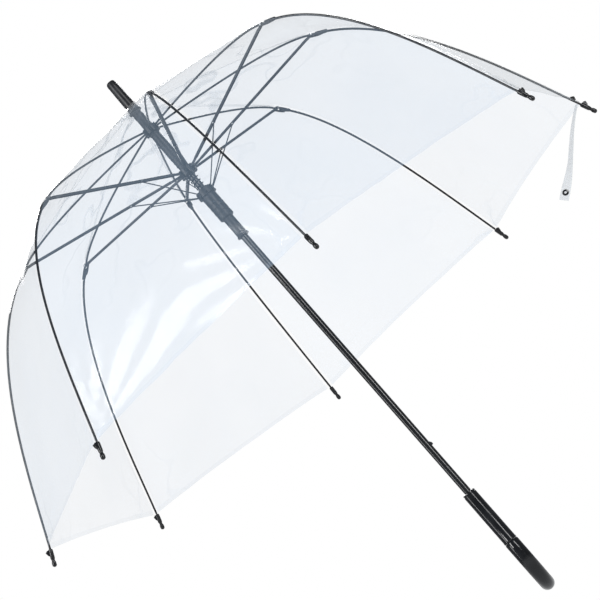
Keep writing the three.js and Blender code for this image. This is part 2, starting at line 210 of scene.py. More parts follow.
def sweep(points, section, side=(0, 1, 0), sizes=None):
    """A closed bar with one flat section along a line. The section's first axis lies along side."""
    points = [Vector(p) for p in points]
    sides = side if isinstance(side, list) else [side] * len(points)
    sizes = [1] * len(points) if sizes is None else sizes
    verts = []
    for i, point in enumerate(points):
        ahead = (points[min(i + 1, len(points) - 1)] - points[max(i - 1, 0)]).normalized()
        across = Vector(sides[i])
        across = (across - ahead * across.dot(ahead)).normalized()
        up = ahead.cross(across)
        verts.extend(point + (across * a + up * b) * sizes[i] for a, b in section)
    count = len(section)
    faces = grid_faces(len(points), count)
    faces.append(tuple(reversed(range(count))))
    faces.append(tuple(range(len(verts) - count, len(verts))))
    return verts, faces


def rod(points, radius, sides=12, side=(0, 1, 0), sizes=None):
    return sweep(points, circle(radius, sides), side, sizes)


def lathe(profile, sides=40):
    """A closed solid of revolution about Z, from an open or closed outline of (radius, height)."""
    verts, faces = [], []
    rings = []
    for radius, height in profile:
        first = len(verts)
        count = 1 if radius < 1e-7 else sides
        verts.extend(Vector((x, y, height)) for x, y in circle(radius, count))
        rings.append((first, count))
    for (a, a_count), (b, b_count) in zip(rings, rings[1:]):
        for k in range(sides):
            after = (k + 1) % sides
            corners = [a + k % a_count, a + after % a_count, b + after % b_count, b + k % b_count]
            faces.append(tuple(dict.fromkeys(corners)))
    return verts, [face for face in faces if len(face) > 2]


def ring(radius, wire, height, sides=48):
    """A wire ring round the shaft."""
    return lathe([(radius + wire * math.cos(a), height + wire * math.sin(a))
                  for a in np.linspace(0, 2 * math.pi, 11)], sides)


def plate(outline, thickness):
    """A flat plate: an outline of (x, z) with its thickness across Y."""
    half = thickness / 2
    count = len(outline)
    verts = [Vector((x, y, z)) for y in (-half, half) for x, z in outline]
    faces = [(k, (k + 1) % count, count + (k + 1) % count, count + k) for k in range(count)]
    faces.append(tuple(reversed(range(count))))
    faces.append(tuple(range(count, 2 * count)))
    return verts, faces


def rivet(at, length, radius, head=None):
    """A cross pin with a domed head at each end, along Y."""
    head = head or radius * 1.7
    half = length / 2
    profile = [(0, -half - head * 0.5), (head * 0.7, -half - head * 0.38), (head, -half), (radius, -half),
               (radius, half), (head, half), (head * 0.7, half + head * 0.38), (0, half + head * 0.5)]
    turn = Matrix.Rotation(-math.pi / 2, 4, "X")
    return placed(lathe(profile, 16), Matrix.Translation(at) @ turn)


def wheel(inner, outer, low, high, slot, tooth_lean=0.0):
    """Eight teeth round the shaft, with a slot on every rib for its end."""
    shapes = []
    for k in range(RIBS):
        turn = (k + 0.5) * RIB_STEP
        near = HALF_STEP - math.asin(slot / 2 / inner)
        far = HALF_STEP - math.asin(slot / 2 / outer)
        arc = np.linspace(-1, 1, 7)
        outline = [(outer * math.cos(turn + far * a), outer * math.sin(turn + far * a)) for a in arc]
        outline += [(inner * math.cos(turn - near * a), inner * math.sin(turn - near * a)) for a in arc]
        count = len(outline)
        verts = [Vector((x, y, low)) for x, y in outline]
        verts += [Vector((x * (1 - tooth_lean), y * (1 - tooth_lean), high)) for x, y in outline]
        faces = [(i, (i + 1) % count, count + (i + 1) % count, count + i) for i in range(count)]
        faces += [tuple(reversed(range(count))), tuple(range(count, 2 * count))]
        shapes.append((verts, faces))
    return joined(*shapes)


def linked(name, data):
    """A new object in the scene."""
    made = bpy.data.objects.new(name, data)
    bpy.context.scene.collection.objects.link(made)
    return made


def piece(name, parts, body, replaces=(), index=0, bevel=0.0, sharp=38):
    """Makes one object from (shape, material) parts, turned to its rib, riding on its body."""
    verts, faces, marks, materials = [], [], [], []
    for shape, material in parts:
        first = len(verts)
        verts.extend(shape[0])
        faces.extend([tuple(first + i for i in face) for face in shape[1]])
        if material not in materials:
            materials.append(material)
        marks.extend([materials.index(material)] * len(shape[1]))
    mesh = bpy.data.meshes.new(name)
    mesh.from_pydata([tuple(v) for v in verts], [], faces)
    mesh.transform(Matrix.Rotation(index * RIB_STEP, 4, "Z"))
    for material in materials:
        mesh.materials.append(material)
    mesh.polygons.foreach_set("material_index", marks)
    mesh.shade_smooth()
    mesh.set_sharp_from_angle(angle=math.radians(sharp))
    made = linked(name, mesh)
    if bevel:
        edge = made.modifiers.new("edges", "BEVEL")
        edge.width = bevel
        edge.segments = 2
        edge.limit_method = "ANGLE"
        edge.harden_normals = True
    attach(made, body)
    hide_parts(*replaces)
    return made


def stood_at(at, out):
    """Stands a shape made along Z at a point, along the direction out."""
    return Matrix.Translation(at) @ out.to_track_quat("Z", "X").to_matrix().to_4x4()


# ---- Materials ----

def new_material(name):
    made = bpy.data.materials.new(name)
    made.use_nodes = True
    return made, made.node_tree, made.node_tree.nodes["Principled BSDF"]


def add_node(tree, kind, settings=None, **inputs):
    made = tree.nodes.new(kind)
    for key, value in (settings or {}).items():
        setattr(made, key, value)
    for key, value in inputs.items():
        socket = made.inputs[key.replace("_", " ")]
        if isinstance(value, bpy.types.NodeSocket):
            tree.links.new(value, socket)
        else:
            socket.default_value = value
    return made


def surface_noise(tree, scale, detail=4, stretch=(1, 1, 1), roughness=0.5):
    """Noise that lies in the piece's own space, so it moves with the piece."""
    place = add_node(tree, "ShaderNodeTexCoord")
    moved = add_node(tree, "ShaderNodeMapping", Vector=place.outputs["Object"], Scale=stretch)
    made = add_node(tree, "ShaderNodeTexNoise", Vector=moved.outputs[0], Scale=scale, Detail=detail,
                    Roughness=roughness)
    return made.outputs["Fac"]


def mapped(tree, value, low, high, to_low, to_high):
    made = add_node(tree, "ShaderNodeMapRange", {"clamp": True})
    tree.links.new(value, made.inputs["Value"])
    for name, number in (("From Min", low), ("From Max", high), ("To Min", to_low), ("To Max", to_high)):
        made.inputs[name].default_value = number
    return made.outputs["Result"]


def combined(tree, operation, first, second):
    made = tree.nodes.new("ShaderNodeMath")
    made.operation = operation
    for socket, value in zip(made.inputs, (first, second)):
        if isinstance(value, bpy.types.NodeSocket):
            tree.links.new(value, socket)
        else:
            socket.default_value = value
    return made.outputs[0]


def colour_mix(tree, share, first, second):
    made = add_node(tree, "ShaderNodeMix", {"data_type": "RGBA"})
    tree.links.new(share, made.inputs[0])
    made.inputs[6].default_value = (*first, 1)
    made.inputs[7].default_value = (*second, 1)
    return made.outputs[2]


def bumped(tree, shader, height, strength, distance):
    made = add_node(tree, "ShaderNodeBump", Height=height, Strength=strength, Distance=distance)
    tree.links.new(made.outputs[0], shader.inputs["Normal"])


def hard_surface(name, dark, light, roughness, metallic=0.0, grain=900, stretch=(1, 1, 1),
                 bump=0.15, coat=0.0, specular=0.5):
    """A moulded or coated surface: uneven colour, worn roughness and a fine grain."""
    made, tree, shader = new_material(name)
    cloud = surface_noise(tree, 60, 5, stretch)
    fine = surface_noise(tree, grain, 3, stretch)
    share = mapped(tree, cloud, 0.35, 0.65, 0, 1)
    tree.links.new(colour_mix(tree, share, dark, light), shader.inputs["Base Color"])
    wear = combined(tree, "ADD", mapped(tree, cloud, 0.3, 0.7, -0.06, 0.08),
                    mapped(tree, fine, 0.3, 0.7, roughness - 0.04, roughness + 0.06))
    tree.links.new(wear, shader.inputs["Roughness"])
    shader.inputs["Metallic"].default_value = metallic
    shader.inputs["Specular IOR Level"].default_value = specular
    shader.inputs["Coat Weight"].default_value = coat
    shader.inputs["Coat Roughness"].default_value = 0.12
    bumped(tree, shader, fine, bump, 0.05 * MM)
    return made


def film_material():
    """Clear flexible film: a faint blue haze and a denser hem band. Over the outer ribs the haze is
    cleared, a painted shade of the rib that blocks the light the haze would scatter. The welds along the
    ridges and the creases are drawn milky white, painted highlights of the light they catch, on the weld's
    own seam band.
    The map called film holds the distance from the nearest weld and from the hem, in metres. One point
    attribute is 1 where the film lies on a rib, and the other says how strongly the painted crease
    highlight is drawn there, from 0 to 1."""
    made, tree, shader = new_material("clear_film")
    place = add_node(tree, "ShaderNodeUVMap", {"uv_map": "film"})
    parts = add_node(tree, "ShaderNodeSeparateXYZ", Vector=place.outputs[0])
    from_weld, from_hem = parts.outputs[0], parts.outputs[1]
    rib_shade_mask = add_node(tree, "ShaderNodeAttribute", {"attribute_name": "rib_shade_mask"}).outputs["Fac"]
    crease_highlight_zone = add_node(tree, "ShaderNodeAttribute", {"attribute_name": "crease_highlight"}).outputs["Fac"]
    # Thin lines over the creased parts, drawn milky white and more opaque: a painted highlight of the
    # light the creases catch.
    away = combined(tree, "ABSOLUTE", combined(tree, "SUBTRACT", surface_noise(tree, 11, 2), 0.5), 0)
    crease_highlight = combined(tree, "MULTIPLY", mapped(tree, away, 0.003, 0.024, 1, 0), crease_highlight_zone)
    weld = mapped(tree, from_weld, WELD_HALF - BAND_EDGE, WELD_HALF + BAND_EDGE, 1, 0)
    # Band over the outer rib where the haze is cleared, as painted shade of the rib.
    rib_shade_band = mapped(tree, from_weld, RIB_SHADE_INNER, RIB_SHADE_OUTER, 1, 0)
    hem = mapped(tree, from_hem, HEM_BAND - BAND_EDGE, HEM_BAND + BAND_EDGE, 1, 0)
    cloud = surface_noise(tree, 7, 4)
    facing = add_node(tree, "ShaderNodeLayerWeight", Blend=0.5).outputs["Facing"]
    edge_on = combined(tree, "POWER", facing, 3.0)
    haze = mapped(tree, cloud, 0.3, 0.7, 0.13, 0.18)
    # Along the ridges between crown and bracket the weld is drawn milky white and more opaque: the seam's
    # own band, and a painted highlight of the light the ridge catches.
    weld_seam_highlight = combined(tree, "MULTIPLY", weld, combined(tree, "SUBTRACT", 1.0, rib_shade_mask))
    rib_shade = combined(tree, "MULTIPLY", rib_shade_band, rib_shade_mask)
    alpha = combined(tree, "ADD", haze, combined(tree, "MULTIPLY", edge_on, 0.10))
    alpha = combined(tree, "ADD", alpha, combined(tree, "MULTIPLY", hem, 0.05))
    alpha = combined(tree, "ADD", alpha, combined(tree, "MULTIPLY", weld_seam_highlight, 0.5))
    alpha = combined(tree, "ADD", alpha, combined(tree, "MULTIPLY", crease_highlight, 0.6))
    # Over the rib the haze keeps only 0.12 of its opacity: the painted shade of the rib.
    alpha = combined(tree, "MULTIPLY", alpha, mapped(tree, rib_shade, 0, 1, 1, 0.12))
    tree.links.new(alpha, shader.inputs["Alpha"])
    # Milky white where the painted seam and crease highlights are drawn.
    seam_and_crease_highlight = combined(tree, "MAXIMUM", weld_seam_highlight, crease_highlight)
    clear = colour_mix(tree, edge_on, (0.35, 0.48, 0.64), (0.60, 0.63, 0.66))
    tint = add_node(tree, "ShaderNodeMix", {"data_type": "RGBA"})
    tree.links.new(seam_and_crease_highlight, tint.inputs[0])
    tree.links.new(clear, tint.inputs[6])
    tint.inputs[7].default_value = (0.96, 0.98, 1, 1)
    tree.links.new(tint.outputs[2], shader.inputs["Base Color"])
    smudge = surface_noise(tree, 22, 5)
    tree.links.new(mapped(tree, smudge, 0.35, 0.7, 0.06, 0.14), shader.inputs["Roughness"])
    shader.inputs["IOR"].default_value = 1.52
    shader.inputs["Specular IOR Level"].default_value = 0.5
    ripple = surface_noise(tree, 26, 3, (1, 1, 0.35))
    bumped(tree, shader, ripple, 0.6, 1.5 * MM)
    return made


def strap_material():
    """Cloudy film of the strap."""
    made, tree, shader = new_material("strap_film")
    cloud = surface_noise(tree, 160, 4)
    tint = colour_mix(tree, mapped(tree, cloud, 0.3, 0.7, 0, 1), (0.52, 0.55, 0.58), (0.60, 0.63, 0.66))
    tree.links.new(tint, shader.inputs["Base Color"])
    tree.links.new(mapped(tree, cloud, 0.3, 0.7, 0.38, 0.46), shader.inputs["Alpha"])
    tree.links.new(mapped(tree, cloud, 0.3, 0.7, 0.12, 0.3), shader.inputs["Roughness"])
    bumped(tree, shader, cloud, 0.3, 0.1 * MM)
    return made


GLOSS_BLACK = hard_surface("gloss_black_plastic", (0.003, 0.0035, 0.005), (0.007, 0.008, 0.010), 0.14,
                           grain=700, bump=0.02, specular=0.4)
SATIN_BLACK = hard_surface("satin_black_plastic", (0.006, 0.007, 0.009), (0.013, 0.015, 0.019), 0.4,
                           grain=1400, bump=0.3, specular=0.35)
LACQUER = hard_surface("black_lacquer", (0.003, 0.0035, 0.005), (0.008, 0.009, 0.011), 0.16,
                       grain=500, stretch=(1, 1, 0.08), bump=0.02, coat=0.35, specular=0.4)
FIBREGLASS = hard_surface("black_fibreglass", (0.003, 0.0035, 0.005), (0.009, 0.010, 0.012), 0.26,
                          grain=1800, stretch=(1, 1, 0.15), bump=0.35, specular=0.35)
COATED_STEEL = hard_surface("coated_steel", (0.012, 0.014, 0.018), (0.035, 0.040, 0.048), 0.36,
                            metallic=0.5, grain=1100, bump=0.3)
DARK_WIRE = hard_surface("dark_wire", (0.018, 0.021, 0.026), (0.06, 0.066, 0.076), 0.3,
                         metallic=0.8, grain=900, stretch=(1, 1, 0.2), bump=0.2)
NICKEL = hard_surface("nickel_rivet", (0.30, 0.31, 0.33), (0.48, 0.49, 0.50), 0.28, metallic=1.0,
                      grain=1500, bump=0.2)
FILM = film_material()
STRAP_FILM = strap_material()


# ---- Curves of one rib ----

def quadratic(a, b, c, t):
    return a * (1 - t) ** 2 + b * (2 * t * (1 - t)) + c * t ** 2


def cubic(a, b, c, d, t):
    s = 1 - t
    return a * s ** 3 + b * (3 * s * s * t) + c * (3 * s * t * t) + d * t ** 3


def inner_point(t):
    return quadratic(NOTCH, INNER_BEND, BRACKET, t)


def outer_point(t):
    return cubic(BRACKET, *OUTER_BENDS, RIB_END, t)


def outer_ahead(t):
    return (outer_point(t + 0.001) - outer_point(t - 0.001)).normalized()


def outer_offset(t, offset):
    """A point on the film's side of the rod."""
    ahead = outer_ahead(t)
    return outer_point(t) + Vector((-ahead.z, 0, ahead.x)) * offset


def film_gap(t):
    """The film lies close on the rod, and rides up over the bracket's socket and the tip cap."""
    from_bracket = (outer_point(t) - BRACKET).length
    to_end = (RIB_END - outer_point(t)).length
    lift = math.exp(-((from_bracket / (22 * MM)) ** 4)) + math.exp(-((to_end / (17 * MM)) ** 4))
    return FILM_GAP + FILM_LIFT * lift


def from_tip(distance):
    """The curve parameter at a distance back from the rib's end."""
    t, walked = 1.0, 0.0
    while walked < distance:
        walked += (outer_point(t) - outer_point(t - 0.001)).length
        t -= 0.001
    return t


def aligned(start, end):
    """Moves a shape made along +X to lie from start towards end, in the XZ plane."""
    ahead = (end - start).normalized()
    return Matrix.Translation(start) @ Matrix.Rotation(-math.atan2(ahead.z, ahead.x), 4, "Y")


# ---- Ribs, stretchers and links ----

def eye(at, radius, width):
    """A flat round eye at a rod's end."""
    profile = [(0, -width / 2), (radius * 0.85, -width / 2), (radius, -width * 0.3),
               (radius, width * 0.3), (radius * 0.85, width / 2), (0, width / 2)]
    return placed(lathe(profile, 20), Matrix.Translation(at) @ Matrix.Rotation(math.pi / 2, 4, "X"))


def inner_rib(index):
    points = [inner_point(t) for t in np.linspace(0.004, 0.996, 26)]
    arm = rod(points, INNER_RIB_R)
    eyes = joined(eye(NOTCH, 2.2 * MM, 2.2 * MM), eye(BRACKET, 2.3 * MM, 2.2 * MM))
    pin = rivet(BRACKET, 7.4 * MM, 0.8 * MM, 1.5 * MM)
    piece(f"inner_rib_{index + 1}", [(arm, DARK_WIRE), (eyes, COATED_STEEL), (pin, NICKEL)],
          f"rib_inner_{index + 1}", [f"rib_inner_{index + 1}"], index)


def rounded_end(x, radius, sides=8):
    """Half a circle that closes a plate's outline at its low X end."""
    turns = np.linspace(math.pi, 0, sides)
    return [(x + radius - radius * math.sin(a), radius * math.cos(a)) for a in turns]


def bracket():
    """Two cheeks and a rolled socket that hold the outer rod on the stretcher's fork."""
    cheek = [(x, min(z, 0.6 * MM)) for x, z in rounded_end(-3 * MM, 2.6 * MM)]
    cheek = plate(cheek + in_mm((9, 0.6), (15, 0.2), (15, -2), (9, -2.8)), 0.7 * MM)
    cheeks = [placed(cheek, Matrix.Translation((0, side * 3 * MM, 0))) for side in (-1, 1)]
    socket = rod([(6.5 * MM, 0, -0.3 * MM), (9 * MM, 0, -0.25 * MM), (20 * MM, 0, 0), (22 * MM, 0, 0)],
                 2.5 * MM, 16, sizes=[1.1, 1.12, 0.92, 0.8])
    return placed(joined(*cheeks, socket), aligned(BRACKET, BRACKET + outer_ahead(0.02)))


def outer_rib(index):
    stop = from_tip(1.5 * MM)
    points = [outer_point(t) for t in np.linspace(0.016, stop, 44)]
    arm = rod(points, OUTER_RIB_R, sizes=list(np.linspace(1.0, 0.9, 44)))
    piece(f"outer_rib_{index + 1}", [(arm, FIBREGLASS), (bracket(), COATED_STEEL)],
          f"rib_outer_{index + 1}", [f"rib_outer_{index + 1}"], index, bevel=0.15 * MM)


def tip_place():
    """Stands a shape made along Z on the rib's end, with its foot pointing out of the rod."""
    ahead = outer_ahead(0.985)
    return Matrix.Translation(RIB_END) @ Matrix.Rotation(math.atan2(-ahead.x, -ahead.z), 4, "Y")


def rib_tip(index):
    """A moulded cap: a sleeve with the film's hook, a waist, and a rounded foot."""
    turns = np.linspace(0, 1.45, 7)
    foot = in_mm(*[(2.75 * math.sin(a), -7.6 - 2.6 * math.cos(a)) for a in turns])
    profile = foot + in_mm((2.8, -5.2), (2.45, -3.6), (2, -2.4), (2.1, -1.2), (2.75, 0.6), (2.8, 9.4),
                           (2.5, 11.6), (2, 12), (1.7, 12), (0, 12))
    hook = in_mm((2.2, 3.4), (4.6, 5), (5.4, 6.8), (5.4, 9.4), (4.6, 10.6), (2.2, 11.2))
    pin = rivet((4.9 * MM, 0, 8.3 * MM), 2.6 * MM, 1.2 * MM, 1.5 * MM)
    cap = joined(lathe(profile, 24), plate(hook, 3 * MM), pin)
    piece(f"tip_cap_{index + 1}", [(placed(cap, tip_place()), GLOSS_BLACK)],
          f"rib_outer_{index + 1}", [f"rib_tip_{index + 1}"], index, bevel=0.25 * MM)


def channel_section(width, height, wall):
    """A rolled U, open downwards."""
    half, top, low = width / 2, height / 2, -height / 2
    round_by = wall * 0.9
    outside = [(-half, low), (-half, top - round_by), (-half + round_by, top), (half - round_by, top),
               (half, top - round_by), (half, low)]
    inside = [(x - math.copysign(wall, x), z - (wall if z > 0 else 0)) for x, z in outside]
    return outside + inside[::-1]


def stretcher(index):
    length = (BRACKET - HUB).length
    section = channel_section(4.6 * MM, 2.6 * MM, 0.6 * MM)
    line = [(14 * MM, 0, 0), (17 * MM, 0, 0), (length - 9 * MM, 0, 0), (length - 6 * MM, 0, -0.3 * MM),
            (length + 1.6 * MM, 0, -0.3 * MM)]
    channel = sweep(line, section, sizes=[0.55, 1, 1, 0.98, 0.9])
    tongue = plate(rounded_end(-1.7 * MM, 1.7 * MM) + in_mm((18, 1), (18, -1.3)), 2.2 * MM)
    link_at = (LINK_TOP - HUB).dot((BRACKET - HUB).normalized())
    pins = joined(rivet((link_at, 0, -0.9 * MM), 4.6 * MM, 0.6 * MM, 1.1 * MM),
                  rivet((length, 0, 0), 4.4 * MM, 0.6 * MM, 1.1 * MM))
    place = aligned(HUB, BRACKET)
    parts = [(placed(joined(channel, tongue), place), COATED_STEEL), (placed(pins, place), NICKEL)]
    piece(f"stretcher_arm_{index + 1}", parts, f"stretcher_{index + 1}", [f"stretcher_{index + 1}"],
          index, bevel=0.12 * MM)


def link_wire(index):
    """A wire link with a loop round each of its pins."""
    wire = rod([RING, RING.lerp(LINK_TOP, 0.5), LINK_TOP], 0.75 * MM, 10)
    loops = joined(*[eye(at, 1.5 * MM, 1.5 * MM) for at in (RING, LINK_TOP)])
    piece(f"link_wire_{index + 1}", [(joined(wire, loops), DARK_WIRE)], f"link_{index + 1}",
          [f"link_{index + 1}"], index)


# ---- Shaft line ----

def cut_away(obj, cutter):
    """Cuts a box out of an object, for good."""
    knife = obj.modifiers.new("cut", "BOOLEAN")
    knife.object = cutter
    knife.solver = "EXACT"
    graph = bpy.context.evaluated_depsgraph_get()
    cut = bpy.data.meshes.new_from_object(obj.evaluated_get(graph))
    obj.modifiers.clear()
    obj.data = cut
    bpy.data.objects.remove(cutter)


def shaft_tube():
    low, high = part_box("shaft")
    bore = SHAFT_R * 0.85
    tube = lathe([(bore, low.z), (SHAFT_R, low.z), (SHAFT_R, high.z), (bore, high.z), (bore, low.z)], 48)
    made = piece("shaft_tube", [(tube, LACQUER)], "handle_and_shaft", ["shaft"])
    catch_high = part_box("catch")[1]
    slot = plate([(1 * MM, catch_high.z - 9.6 * MM), (9 * MM, catch_high.z - 9.6 * MM),
                  (9 * MM, catch_high.z + 1 * MM), (1 * MM, catch_high.z + 1 * MM)], 2.4 * MM)
    cutter_mesh = bpy.data.meshes.new("slot")
    cutter_mesh.from_pydata([tuple(v) for v in slot[0]], [], slot[1])
    cutter = linked("slot", cutter_mesh)
    cut_away(made, cutter)
    made.data.shade_smooth()
    made.data.set_sharp_from_angle(angle=math.radians(38))


def spring_catch():
    """A pressed wedge with a rounded nose on a leaf inside the tube."""
    low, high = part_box("catch")
    wedge_low = high.z - 5.6 * MM
    nose = high.x
    outline = [(1 * MM, wedge_low), (nose - 0.6 * MM, wedge_low), (nose - 0.1 * MM, wedge_low + 0.4 * MM),
               (nose, wedge_low + 1.2 * MM), (nose - 0.1 * MM, wedge_low + 2.6 * MM),
               (SHAFT_R + 0.2 * MM, high.z), (1 * MM, high.z)]
    leaf = plate([(low.x, low.z), (1.1 * MM, low.z), (1.1 * MM, high.z), (low.x, high.z)], 1.8 * MM)
    piece("spring_catch", [(joined(plate(outline, 1.8 * MM), leaf), DARK_WIRE)], "catch", ["catch"],
          bevel=0.15 * MM)


def ferrule_cap():
    """A tapered moulded cap with a rounded end and a lip that clamps the film."""
    height = FERRULE_HIGH - FERRULE_LOW
    crown = [(5.4 * MM * math.cos(a), FERRULE_HIGH - 1.6 * MM + 1.6 * MM * math.sin(a))
             for a in np.linspace(0.2, math.pi / 2, 8)]
    lip = in_mm((7.7, 0), (7.9, 0.9), (7.55, 2.2), (7.25, 2.5), foot=FERRULE_LOW)
    profile = [(SLIDE_R, FERRULE_LOW), *lip, (6.6 * MM, FERRULE_LOW + height * 0.75),
               (6.3 * MM, FERRULE_HIGH - 3 * MM), *crown]
    piece("ferrule_cap", [(lathe(profile, 48), SATIN_BLACK)], "handle_and_shaft", ["ferrule"])


def notch_wheel():
    """The fixed wheel that the inner ribs hang in, with the collar that carries the film's crown."""
    collar = in_mm((6.2, 0), (6.2, 11), (6.4, 11.5), (6.4, 26.5), (6.7, 27.5), (6.7, 30.5), (6.4, 31.5),
                   (6.4, 34.5), foot=NOTCH_LOW)
    core = lathe([(SLIDE_R, NOTCH_LOW), *collar, (9 * MM, NOTCH_HIGH - 1.3 * MM), (9 * MM, NOTCH_HIGH),
                  (SLIDE_R, NOTCH_HIGH)])
    teeth = wheel(6 * MM, HUB_R, NOTCH_LOW, NOTCH_LOW + 10 * MM, 3.1 * MM, 0.06)
    wire = ring(NOTCH.x, 0.7 * MM, NOTCH.z)
    piece("notch_wheel", [(joined(core, teeth), SATIN_BLACK), (wire, DARK_WIRE)], "handle_and_shaft",
          ["top_notch"], bevel=0.2 * MM)


def upper_runner():
    """The sprung runner that pushes the stretchers: a neck tube over a toothed hub."""
    hub_high = HUB.z + 5.4 * MM
    rings = [(NECK_R + (0.45 * MM if k % 2 else 0), hub_high + (6 + 5.5 * (k // 2) + (k % 2) * 0.4) * MM)
             for k in range(6)]
    core = lathe([(SLIDE_R, UPPER_LOW), (6.4 * MM, UPPER_LOW), (6.4 * MM, hub_high),
                  (NECK_R, hub_high + 1 * MM), *rings, (NECK_R, UPPER_HIGH - 2.6 * MM),
                  (NECK_R + 0.8 * MM, UPPER_HIGH - 1.8 * MM), (NECK_R + 0.8 * MM, UPPER_HIGH),
                  (SLIDE_R, UPPER_HIGH)])
    teeth = wheel(6.2 * MM, HUB_R + 1.2 * MM, UPPER_LOW, hub_high, 3.1 * MM, 0.1)
    wire = ring(HUB.x, 0.7 * MM, HUB.z)
    piece("hub_runner", [(joined(core, teeth), SATIN_BLACK), (wire, DARK_WIRE)], "upper_runner",
          ["upper_runner"], bevel=0.2 * MM)


def lower_runner():
    """The large sleeve that the hand pulls down: link ring, stepped barrel and end flange."""
    ring_low = RING.z - 4.6 * MM
    bore_low = SLEEVE_LOW + 5 * MM
    bore = 7.3 * MM
    grooves = []
    for k in range(3):
        at = SLEEVE_LOW + (8 + 7 * k) * MM
        grooves += [(SLEEVE_R, at), (SLEEVE_R - 0.5 * MM, at + 0.4 * MM),
                    (SLEEVE_R - 0.5 * MM, at + 1.4 * MM), (SLEEVE_R, at + 1.8 * MM)]
    flange = in_mm((8, 0), (8.2, 0.5), (8.1, 2.2), foot=RUNNER_LOW)
    core = lathe([(SLIDE_R, RUNNER_LOW), *flange, (TUBE_R, RUNNER_LOW + 3.4 * MM),
                  (TUBE_R, SLEEVE_LOW - 1.2 * MM), (SLEEVE_R - 0.9 * MM, SLEEVE_LOW),
                  (SLEEVE_R, SLEEVE_LOW + 1 * MM), *grooves, (SLEEVE_R, ring_low),
                  (SLEEVE_R + 0.6 * MM, ring_low), (SLEEVE_R + 0.6 * MM, RING_HIGH - 0.6 * MM),
                  (SLEEVE_R, RING_HIGH), (bore, RING_HIGH), (bore, bore_low), (SLIDE_R, bore_low),
                  (SLIDE_R, RUNNER_LOW)])
    teeth = wheel(8.9 * MM, RING_R, ring_low, RING_HIGH, 2.5 * MM, 0.04)
    wire = ring(RING.x, 0.6 * MM, RING.z)
    piece("pull_runner", [(joined(core, teeth), SATIN_BLACK), (wire, DARK_WIRE)], "lower_runner",
          ["lower_runner"], bevel=0.2 * MM)


def main_spring():
    """The opening spring between the hub and the floor of the lower runner's barrel."""
    low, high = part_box("main_spring")
    wire, coils = 0.72 * MM, 12
    radius = high.x - wire
    steps = coils * 20
    rise = high.z - low.z - 2 * wire
    points, sides = [], []
    for i in range(steps + 1):
        a = 2 * math.pi * coils * i / steps
        sides.append((math.cos(a), math.sin(a), 0))
        points.append((radius * math.cos(a), radius * math.sin(a), low.z + wire + rise * i / steps))
    coil = rod(points, wire, 8, sides)
    made = piece("opening_spring", [(coil, DARK_WIRE)], "upper_runner", ["main_spring"])
    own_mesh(made)


# ---- Handle ----

def grip():
    """The straight sleeve, with its end bead and the fine parting line of its mould."""
    steps = [(0.1 * MM, GRIP_LOW), (0.25 * MM, GRIP_LOW + 0.6 * MM), (0.25 * MM, GRIP_LOW + 2.4 * MM),
             (0, GRIP_LOW + 3 * MM), (-0.1 * MM, 0), (-0.1 * MM, GRIP_HIGH - 3.4 * MM),
             (-0.5 * MM, GRIP_HIGH - 3 * MM), (-0.5 * MM, GRIP_HIGH - 2.2 * MM),
             (-0.1 * MM, GRIP_HIGH - 1.8 * MM), (-0.3 * MM, GRIP_HIGH - 0.6 * MM), (-1.2 * MM, GRIP_HIGH)]
    profile = [(SLIDE_R, GRIP_LOW), *[(GRIP_R + out, z) for out, z in steps], (SLIDE_R, GRIP_HIGH),
               (SLIDE_R, GRIP_LOW)]
    lines = []
    for side in (-1, 1):
        low = (side * (GRIP_R - 0.05 * MM), 0, GRIP_LOW + 3 * MM)
        high = (side * (GRIP_R - 0.15 * MM), 0, GRIP_HIGH - 4 * MM)
        lines.append(sweep([low, high], circle(0.18 * MM, 8)))
    piece("grip_tube", [(joined(lathe(profile, 56), *lines), GLOSS_BLACK)], "handle_and_shaft",
          ["grip_sleeve"])


def crook():
    """The J: a straight neck, a half-turn backwards and a domed end."""
    points = [(0, 0, CROOK_HIGH), (0, 0, CROOK_HIGH - 0.8 * MM), (0, 0, CROOK_HIGH - 12 * MM)]
    sizes = [0.9, 1, 1]
    for a in np.linspace(0, math.pi, 40):
        points.append((BEND_RADIUS - BEND_RADIUS * math.cos(a), 0, BEND_Z - BEND_RADIUS * math.sin(a)))
        sizes.append(1 - 0.06 * a / math.pi)
    end = CROOK_END_R / CROOK_R
    top = BEND_Z + HOOK_RISE
    points.append((2 * BEND_RADIUS, 0, top))
    sizes.append(end)
    for a in np.linspace(0.2, 1.5, 9):
        points.append((2 * BEND_RADIUS, 0, top + CROOK_END_R * math.sin(a)))
        sizes.append(end * math.cos(a))
    bar = placed(rod(points, CROOK_R, 36, (0, 1, 0), sizes), Matrix.Rotation(HOOK_TURN, 4, "Z"))
    piece("crook_bar", [(bar, GLOSS_BLACK)], "handle_and_shaft", ["crook_handle"], sharp=60)


# ---- Canopy ----

def ridge_line():
    """The film's line over a rib from the crown's hole to the hem, and the row where the bracket is."""
    joint = outer_offset(0, film_gap(0))
    start = Vector((CROWN_FLAT_R, 0, FILM_TOP))
    crown = [quadratic(start, CROWN_BEND, joint, t) for t in np.linspace(0, 1, CROWN_ROWS) ** 1.15]
    down = np.linspace(0, from_tip(HEM_FROM_TIP), SKIRT_ROWS + 1)[1:]
    skirt = [outer_offset(t, film_gap(t)) for t in down]
    return [Vector((FILM_HOLE_R, 0, FILM_TOP)), *crown, *skirt], CROWN_ROWS


def soft_noise(x, y, seed):
    return noise.noise(Vector((x, y, seed * 7.3)))


